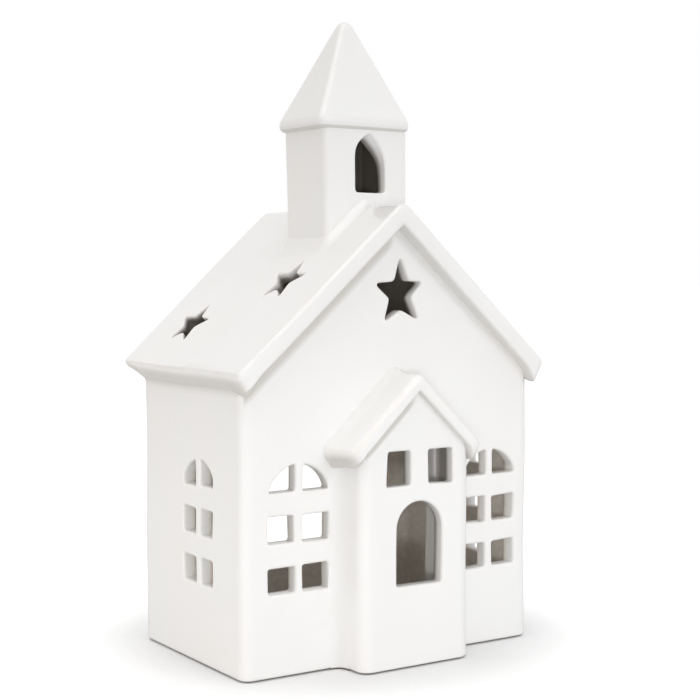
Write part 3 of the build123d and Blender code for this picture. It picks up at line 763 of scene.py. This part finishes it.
# the porch roof flares towards the wall behind it: the slab thickens and its eaves reach out, by a power of
# the nearness to the wall. The eaves hang and tuck in underneath by the square of the nearness to their ends
def makePorchRoof():
    t, pitch = porchRoof["thickness"], house["porchPitch"]
    line = slabLine(porch["half"] + porchRoof["reach"], porchHigh[2], pitch, t, porchRoof["ridgeRadius"])
    _, ridgeS, endS = line["corners"]

    def nearEave(s, band):
        return rising(np.abs(s - ridgeS), endS / 2 - porchRoof[band], porchRoof[band]) ** 2

    def place(s, v, deep):
        hung = nearEave(s, "dropBand") * deep / t
        near = rising(v, frontY - porchRoof["flareDepth"], porchRoof["flareDepth"])
        near = near ** porchRoof["flarePower"]
        s = s + np.sign(s - ridgeS) * near * nearEave(s, "flareBand") * porchRoof["flareOut"]
        deep = deep - near * porchRoof["flare"] * (1 - deep / t)
        x, z = onWall(line, np.clip(s, 0, endS), deep).T
        past = s - np.clip(s, 0, endS)
        z = z - np.abs(past) * np.sin(pitch) - porchRoof["drop"] * hung
        return np.column_stack([x + past * np.cos(pitch) - np.sign(x) * porchRoof["tuckIn"] * hung, v, z])

    edge = plateEdge(boxOutline(0, endS, porchRoofLow[1], porchBack), porchRoof)
    rows = np.arange(porchRoofLow[1], porchBack, porchRoof["gridDeep"])
    grid = gridOver(columnsFor(line, porchRoof["gridAcross"]), rows)
    # painted shade on the slab's edges and underside
    return castPlate(place, edge["flat"], grid, t, [edge], porchRoom, porchRoof["thinGlazeAndShade"])


makePiece("porchRoof", makePorchRoof(), "porch_roof")

tower = {
    "half": (towerHigh[0], towerHigh[1] - towerY), "thickness": 4.0, "corner": 1.7, "seam": 9.0, "rise": 2.2,
    "sink": 2.4, "lip": 0.6, "footLip": 0.6, "step": 0.5, "grid": 3.0, "swellFrom": 146.0, "swellOver": 20.0,
    "swell": 0.05,
}
belfry = {
    "half": 5.45, "sill": 146.6, "springs": (154.5, 157.5), "apex": 165.8, "powers": (2.2, 2.7),
    "soften": 0.85, "leanIn": 1.1, "leanDown": 2.4, "leanFrom": 151.6, "leanOver": 12.0, "leanFoot": 0.5,
    "leanHalf": 8.0, "leanFade": (6.3, 7.0),
}


# height of the roof's upper face over x: two slopes under a rounded ridge
def roofHeight(x):
    r, turn = house["ridgeRadius"], house["pitch"]
    arc = ridgeZ - r / np.cos(turn) + np.sqrt(np.maximum(r ** 2 - x ** 2, 0))
    return np.where(np.abs(x) < r * np.sin(turn), arc, ridgeZ - slope * np.abs(x))


# four walls round the belfry, whose foot follows the roof and is sunk into it
def makeTower():
    w, d = tower["half"]
    line = wallRound(w, towerY - d, towerY + d, tower, house["innerCorner"])
    frontS = line["corners"][2] + w
    cuts = [(pointedOutline(frontS + house["cutoutOffset"], belfry), belfry["soften"])]

    def foot(s):
        return roofHeight(np.interp(s, line["s"], line["outer"][:, 0])) - tower["sink"]

    def top(s):
        return 0 * s + towerHigh[2] + tower["rise"]

    # the knife leaned: towards the inside the head of the arch drops and its right side comes in
    def lean(s, v, share):
        half = belfry["leanHalf"]
        above = np.maximum(np.abs(v - belfry["leanFrom"] - half) - half, 0)
        near = (1 - rising(np.hypot(s - frontS, above), *belfry["leanFade"])) * share
        head = rising(v, belfry["leanFrom"], belfry["leanOver"])
        return s - near * belfry["leanIn"] * (belfry["leanFoot"] + head), v - near * belfry["leanDown"] * head

    shape = closedPlate(line, cuts, foot, top, tower, towerRoom, lean)
    # the right side stands out by a share, and the left side swells by it towards the top
    x, _, z = shape["points"].T
    rise = rising(z, tower["swellFrom"], tower["swellOver"])
    shape["points"][:, 0] *= 1 + tower["swell"] * np.where(x > 0, 1, rise)
    return shape


makePiece("steepleTower", makeTower(), "steeple_tower")


# rounded rectangles carried up a section: each level has its half sizes, corner radius and height, and the
# sides between the corners are divided evenly
def carryRectangles(halfX, halfY, radius, height, centre, arcSteps=7, sideSteps=7):
    signs = np.array([(1, 1), (-1, 1), (-1, -1), (1, -1)])
    turns = np.linspace(0, np.pi / 2, arcSteps)[None] + np.arange(4)[:, None] * np.pi / 2
    core = np.stack([halfX - radius, halfY - radius], -1)[:, None, None] * signs[:, None]
    ring = core + radius[:, None, None, None] * np.stack([np.cos(turns), np.sin(turns)], -1)
    ring = ring.reshape(len(height), -1, 2)
    onSide = arcSteps - 1 + np.arange(sideSteps) / sideSteps
    walk = np.concatenate([np.arange(arcSteps - 1), onSide]) + np.arange(4)[:, None] * arcSteps
    low = np.floor(walk.ravel()).astype(int)
    share = (walk.ravel() - low)[:, None]
    ring = ring[:, low] * (1 - share) + ring[:, (low + 1) % (4 * arcSteps)] * share
    up = np.broadcast_to(height[:, None, None], ring.shape[:2] + (1,))
    return np.concatenate([ring + np.array(centre), up], -1)


# a line through corners, walked at even steps and softened by the bell-weighted mean of its neighbours; the
# first and last corners stay
def softLine(corners, step, soften, fineStep=0.1):
    corners = np.array(corners, float)
    along = walkedTo(corners[:, [0, -1]])
    walk = np.linspace(0, along[-1], int(along[-1] / step))
    near = np.arange(-4 * soften, 4 * soften, fineStep)
    bell = np.exp(-0.5 * (near / soften) ** 2)
    bell = bell / bell.sum()
    points = np.stack([np.interp(walk[:, None] + near, along, column) @ bell for column in corners.T], 1)
    points[[0, -1]] = corners[[0, -1]]
    return points


# levels of the section: half size, or what is added to the tower's or the brim's, corner radius, and height
# above the tower's top or the tip. It goes up from under the brim; seat and peak are inside
spire = {
    "under": (0.1, 1.7, -0.3), "eave": (-0.4, 2.2, 0.5), "brow": (-0.4, 2.2, 2.8),
    "shoulder": (2.6, 1.6, -2.6), "nose": (1.56, 1.2, -0.6), "tip": (0.0, 0.0, -0.1),
    "seat": (-0.3, 1.4, -0.5), "peak": (1.2, 0.3, -12.0),
    "step": 0.45, "soften": 0.7, "swellLeft": 0.10, "swellRight": 0.02, "thinGlazeAndShade": 0.8, "shadeAbove": 0.1,
    "lip": 0.6, "lipBand": 0.8,
}


# a hollow pyramid as one closed skin: down the inside from its peak, out under the rounded brim, up brow and
# slopes and over the tip
def makeSpire():
    t, top, apex = tower["thickness"], towerHigh[2], spireHigh[2]
    onTower, onBrim, onTip = (*tower["half"], top), (spireHigh[0], spireHigh[1] - towerY, top), (0, 0, apex)

    def level(key, base):
        more, corner, up = spire[key]
        return base[0] + more, base[1] + more, corner, base[2] + up

    peak, seat = level("peak", onTip), level("seat", onTower)
    w, d = tower["half"]
    inner = np.array([(0, 0, 0, peak[3]), peak, (w - t, d - t, house["innerCorner"], seat[3]), seat])
    bases = {"under": onTower, "eave": onBrim, "brow": onBrim, "shoulder": onTip, "nose": onTip, "tip": onTip}
    outer = softLine([level(*item) for item in bases.items()], spire["step"], spire["soften"])
    eave, brow = [top + spire[key][2] for key in ("eave", "brow")]
    halfX, halfY, radius, height = np.vstack([inner, outer]).T
    radius = np.minimum(radius, np.minimum(halfX, halfY))
    rows = carryRectangles(halfX, halfY, radius, height, (0, towerY))
    rows[..., 0] *= 1 + np.where(rows[..., 0] < 0, spire["swellLeft"], spire["swellRight"])
    bare = np.arange(len(height)) < len(inner) - 1
    lip = spire["lip"] * (np.abs(height - brow) < spire["lipBand"])
    # painted shade on the underside below the brim's eave
    thinGlazeAndShade = spire["thinGlazeAndShade"] * (~bare & (height < eave + spire["shadeAbove"]))
    shape = {"points": rows.reshape(-1, 3), "faces": gridFaces(*rows.shape[:2], True)}
    for tint, levels in zip(tints, (lip, bare.astype(float), thinGlazeAndShade)):
        shape[tint] = np.repeat(levels, rows.shape[1])
    return shape


makePiece("spire", makeSpire(), "spire")


# a cove between two faces: a curve that leaves the first face at p0 and meets the second at p2, drawn towards
# their joint p1, and closed by a point sunk behind the joint; every row is one place along the joint
def coveStrip(p0, p1, p2, sunk, closed=False, flip=False, steps=9):
    t = np.linspace(0, 1, steps)[None, :, None]
    curve = (1 - t) ** 2 * p0[:, None] + 2 * t * (1 - t) * p1[:, None] + t ** 2 * p2[:, None]
    rows = np.concatenate([curve, sunk[:, None]], 1)
    if closed:
        rows = np.concatenate([rows, rows[:1]])
    else:
        first, last = [np.broadcast_to(sunk[k], rows[:1].shape) for k in (0, -1)]
        rows = np.concatenate([first, rows, last])
    shape = {tint: np.zeros(rows.shape[0] * rows.shape[1]) for tint in tints}
    faces = gridFaces(*rows.shape[:2], True)
    return dict(shape, points=rows.reshape(-1, 3), faces=faces[:, ::-1] if flip else faces)


# several shapes as one: each one's faces count on from the points before it
def joinShapes(shapes):
    starts = np.concatenate([[0], np.cumsum([len(shape["points"]) for shape in shapes])])
    joined = {key: np.concatenate([shape[key] for shape in shapes]) for key in ("points", *tints)}
    joined["faces"] = np.vstack([shape["faces"] + a for shape, a in zip(shapes, starts)])
    return joined


# points from their coordinates, of which some are one number for all
def pointsAt(x, y, z):
    return np.column_stack(np.broadcast_arrays(x, y, z))


# a cove lies a bed's depth behind the faces that it joins, and its hidden back is sunk further
slip = {
    "bed": 0.05, "sunk": 0.8, "towerSide": 4.4, "towerFront": 4.2, "towerRise": 2.8, "towerFoot": 0.15,
    "towerSteps": (9, 15), "porchSide": 4.6, "porchTop": 66.5, "porchSteps": 34, "porchWave": 0.12,
    "porchPace": 7.0, "gable": 0.3, "gableHalf": 53.0, "gableSteps": 81, "gableRound": 0.5, "eave": 1.4,
    "eaveOut": 0.45, "eaveUp": 0.8, "eaveEnd": 2.5, "eaveSteps": 25,
}


# round the tower the cove climbs by one rise and lies out on the roof, by a reach that differs at the front
def makeTowerCove():
    def ringAt(out):
        sizes = [np.array([size + out]) for size in (*tower["half"], tower["corner"])]
        return carryRectangles(*sizes, np.zeros(1), (0, towerY), *slip["towerSteps"])[0, :, :2]

    ring = ringAt(0)
    out = ringAt(1) - ring
    front = np.clip(-out[:, 1:], 0, 1) ** 2
    far = ring + out * (slip["towerSide"] + (slip["towerFront"] - slip["towerSide"]) * front)
    p1 = np.column_stack([ring - slip["bed"] * out, roofHeight(ring[:, 0]) - slip["bed"]])
    p0 = p1 + [0, 0, slip["towerRise"]]
    p2 = np.column_stack([far, roofHeight(far[:, 0]) - slip["towerFoot"]])
    sunk = np.column_stack([ring - slip["sunk"] * out, roofHeight(ring[:, 0]) - slip["sunk"]])
    return coveStrip(p0, (p1 + p2) / 2, p2, sunk, closed=True)


# up both sides of the porch, with a reach that waves a little
def makePorchCove():
    z = np.linspace(0.0, slip["porchTop"], slip["porchSteps"])
    strips = []
    for side in (-1, 1):
        reach = slip["porchSide"] * (1 + slip["porchWave"] * np.sin(z / slip["porchPace"] + side))
        x = side * (porch["half"] - slip["bed"]) + max(side, 0) * porch["swell"]
        p1 = pointsAt(x, frontY + slip["bed"], z)
        p0 = p1 - pointsAt(0, reach, 0)
        p2 = p1 + pointsAt(side * reach, 0, 0)
        sunk = p1 + [-side * slip["sunk"], slip["sunk"], 0]
        strips.append(coveStrip(p0, p1, p2, sunk, flip=side < 0))
    return joinShapes(strips)


# along the gable, under the slopes of the roof and rounded below the ridge
def makeGableCove():
    reach = slip["gable"]
    x = np.linspace(-slip["gableHalf"], slip["gableHalf"], slip["gableSteps"])
    z = soffitZ - slope * np.sqrt(x ** 2 + slip["gableRound"])
    p1 = pointsAt(x, frontY + slip["bed"], z + slip["bed"])
    sunk = p1 + [0, slip["sunk"], slip["sunk"]]
    strip = coveStrip(p1 - [0, 0, reach], p1, p1 - [0, reach, 0], sunk)
    # painted shade that grows from the wall towards the soffit
    strip["thinGlazeAndShade"] = paintedEdgeShade["under"] * roof["thinGlazeAndShade"] * rising(frontY - strip["points"][:, 1], 0, reach)
    return strip


# along the side walls the cove is drawn from the wall up to the undercut end of the roof's slab
def makeEaveCove():
    reach = slip["eave"]
    z = soffitZ - slope * halfWidth - roof["drop"]
    y = np.linspace(frontY + slip["eaveEnd"], backY - slip["eaveEnd"], slip["eaveSteps"])
    strips = []
    for side in (-1, 1):
        p1 = pointsAt(side * (halfWidth - slip["bed"]), y, z)
        p2 = p1 + [side * slip["eaveOut"] * reach, 0, slip["eaveUp"] * reach]
        strip = coveStrip(p1 - [0, 0, reach], p1, p2, p1 - [side * slip["sunk"], 0, 0], flip=side > 0)
        # painted shade that grows up the cove towards the slab
        strip["thinGlazeAndShade"] = roof["thinGlazeAndShade"] * rising(strip["points"][:, 2], z - reach, (1 + slip["eaveUp"]) * reach)
        strips.append(strip)
    return joinShapes(strips)


makePiece("towerSlip", makeTowerCove())
makePiece("porchSlip", makePorchCove())
makePiece("gableSlip", makeGableCove())
makePiece("eaveSlip", makeEaveCove())


# the light and its parts keep their CAD shapes: colour and roughness of each
plastics = {
    "tealight_case": ((0.83, 0.81, 0.76), 0.38), "tealight_base": ((0.80, 0.79, 0.75), 0.45),
    "battery_door": ((0.66, 0.655, 0.63), 0.5), "switch_slider": ((0.60, 0.595, 0.57), 0.5),
    "circuit_board": ((0.05, 0.19, 0.09), 0.4),
}
metals = {
    "coin_cell": ((0.72, 0.72, 0.71), 0.28), "side_contact": ((0.78, 0.60, 0.34), 0.3),
    "leaf_contact": ((0.78, 0.60, 0.34), 0.3),
}
resins = {"lamp": ((0.95, 0.82, 0.55), 0.12), "flame": ((0.92, 0.84, 0.66), 0.3)}
stock = {
    "cloud": (180.0, 3.0, 0.5), "grain": (2600.0, 2.0, 0.5), "span": (0.3, 0.7), "darker": 0.9,
    "smoother": 0.85, "rougher": 1.15, "bump": (0.1, 0.0001), "resinPasses": 0.35,
}


# moulded or stamped stock: a slight cloud in the colour, a fine grain in the gloss and the surface
def stockMaterial(name, colour, rough, metal, passes):
    material, tree, shader, coords = newMaterial(name)
    cloud = noiseAt(tree, coords, *stock["cloud"])
    grain = noiseAt(tree, coords, *stock["grain"])
    darker = tuple(stock["darker"] * c for c in colour)
    gloss = (rough * stock["smoother"], rough * stock["rougher"])
    setInputs(tree, shader, {
        "Base Color": mixColour(tree, ramp(tree, cloud, *stock["span"]), colour, darker),
        "Roughness": ramp(tree, grain, *stock["span"], *gloss),
        "Metallic": metal,
        "Transmission Weight": passes,
        "Normal": bumpFrom(tree, grain, *stock["bump"]),
    })
    return material


for kind, metal, passes in ((plastics, 0.0, 0.0), (metals, 1.0, 0.0), (resins, 0.0, stock["resinPasses"])):
    for node, (colour, rough) in kind.items():
        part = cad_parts[node]
        part.data.materials.clear()
        part.data.materials.append(stockMaterial(node + "Finish", colour, rough, metal, passes))
print("light finished")

# the stage, its lamps and the camera are in metres
stage = {
    "floor": 6.0, "floorColour": (0.75, 0.75, 0.75), "floorRough": 0.6, "pool": (0.054, 0.050),
    "poolEdge": (0.9, 1.9), "glow": (0.11, 0.46), "warmFrom": (-1.0, 0.0, -1.2), "warm": (1.0, 0.84, 0.68),
    "warmSpan": (0.05, 0.8), "world": 0.63, "white": (1, 1, 1),
}


# a pale sweep that the camera sees lighter away from the house, so that it holds a painted shadow round the
# house
def floorMaterial():
    material, tree, shader, coords = newMaterial("paleFloor")
    scaled = addNode(tree, "ShaderNodeVectorMath", {0: coords, 1: (*stage["pool"], 1.0)}, operation="DIVIDE")
    away = addNode(tree, "ShaderNodeVectorMath", {0: scaled.outputs["Vector"]}, operation="LENGTH")
    # less glow near the house: a painted contact shadow round its foot
    glow = ramp(tree, away.outputs["Value"], *stage["poolEdge"], *stage["glow"])
    seen = addNode(tree, "ShaderNodeLightPath").outputs["Is Camera Ray"]
    setInputs(tree, shader, {
        "Base Color": stage["floorColour"],
        "Roughness": stage["floorRough"],
        "Emission Color": stage["white"],
        "Emission Strength": combine(tree, "MULTIPLY", seen, glow),
    })
    return material


floorMesh = bpy.data.meshes.new("floor")
floorCorners = stage["floor"] * np.array([(-1, -1, 0), (1, -1, 0), (1, 1, 0), (-1, 1, 0)])
floorMesh.from_pydata(floorCorners.tolist(), [], [(0, 1, 2, 3)])
floorMesh.materials.append(floorMaterial())
floor = bpy.data.objects.new("floor", floorMesh)
bpy.context.collection.objects.link(floor)


# white where the camera or a reflection looks, a plain soft level for everything that it lights,
# warmer from low on the left
def studioWorld():
    world = bpy.data.worlds.new("studio")
    world.use_nodes = True
    tree = world.node_tree
    tree.nodes.clear()
    path = addNode(tree, "ShaderNodeLightPath").outputs
    seen = combine(tree, "MAXIMUM", path["Is Camera Ray"], path["Is Glossy Ray"])
    seen = combine(tree, "MAXIMUM", seen, path["Is Transmission Ray"])
    towards = addNode(tree, "ShaderNodeTexCoord").outputs["Generated"]
    side = addNode(tree, "ShaderNodeVectorMath", {0: towards, 1: stage["warmFrom"]}, operation="DOT_PRODUCT")
    left = ramp(tree, side.outputs["Value"], *stage["warmSpan"])
    tone = mixColour(tree, left, stage["white"], stage["warm"])
    soft = addNode(tree, "ShaderNodeBackground", {"Color": tone, "Strength": stage["world"]})
    white = addNode(tree, "ShaderNodeBackground", {"Color": stage["white"], "Strength": 1.0})
    both = addNode(tree, "ShaderNodeMixShader", {"Fac": seen, 1: soft.outputs[0], 2: white.outputs[0]})
    addNode(tree, "ShaderNodeOutputWorld", {"Surface": both.outputs[0]})
    bpy.context.scene.world = world


studioWorld()


# a lamp or camera at a place: its back is as given, and its right is the given one made square to the back
def holdAt(name, data, at, right, back):
    back = back / np.linalg.norm(back)
    right = right - back * np.dot(right, back)
    right = right / np.linalg.norm(right)
    holder = bpy.data.objects.new(name, data)
    bpy.context.collection.objects.link(holder)
    turned = np.column_stack([right, np.cross(back, right), back, at])
    holder.matrix_world = Matrix(np.vstack([turned, [0, 0, 0, 1]]).tolist())
    return holder


# place, size, power, the height that it aims at, spread in degrees, and whether the glaze mirrors it
lamps = {
    "frontBox": ((0.45, -1.5, 0.7), (0.6, 0.6), 4.1, 0.09, 180, True),
    "topBox": ((-0.3, -0.2, 1.7), (1.4, 1.4), 8.5, 0.09, 180, True),
    "leftBox": ((-0.45, 0.03, 0.03), (0.4, 0.06), 0.028, 0.025, 50, False),
    "fillBox": ((-0.46, -0.70, 0.05), (0.4, 0.06), 0.059, 0.04, 26, False),
}
for name, (at, size, power, aim, spread, mirrored) in lamps.items():
    light = bpy.data.lights.new(name, "AREA")
    light.shape = "RECTANGLE"
    light.size, light.size_y = size
    light.energy = power
    light.spread = np.radians(spread)
    back = np.array(at) - [0, 0, aim]
    holder = holdAt(name, light, at, np.cross([0.0, 0.0, 1.0], back), back)
    holder.visible_glossy = mirrored

shot = {
    "at": (-0.265006, -0.411670, 0.122612), "right": (0.836774581, -0.547546697, -0.000956678),
    "forward": (0.546683, 0.835550, -0.0547122), "lens": 76.717, "sensor": 36.0, "nearest": 0.01,
}
camera = bpy.data.cameras.new("camera")
camera.lens = shot["lens"]
camera.sensor_width = shot["sensor"]
camera.clip_start = shot["nearest"]
cameraHolder = holdAt("camera", camera, shot["at"], np.array(shot["right"]), -np.array(shot["forward"]))
bpy.context.scene.camera = cameraHolder
bpy.context.scene.view_settings.view_transform = "Standard"
print("camera and lights set")
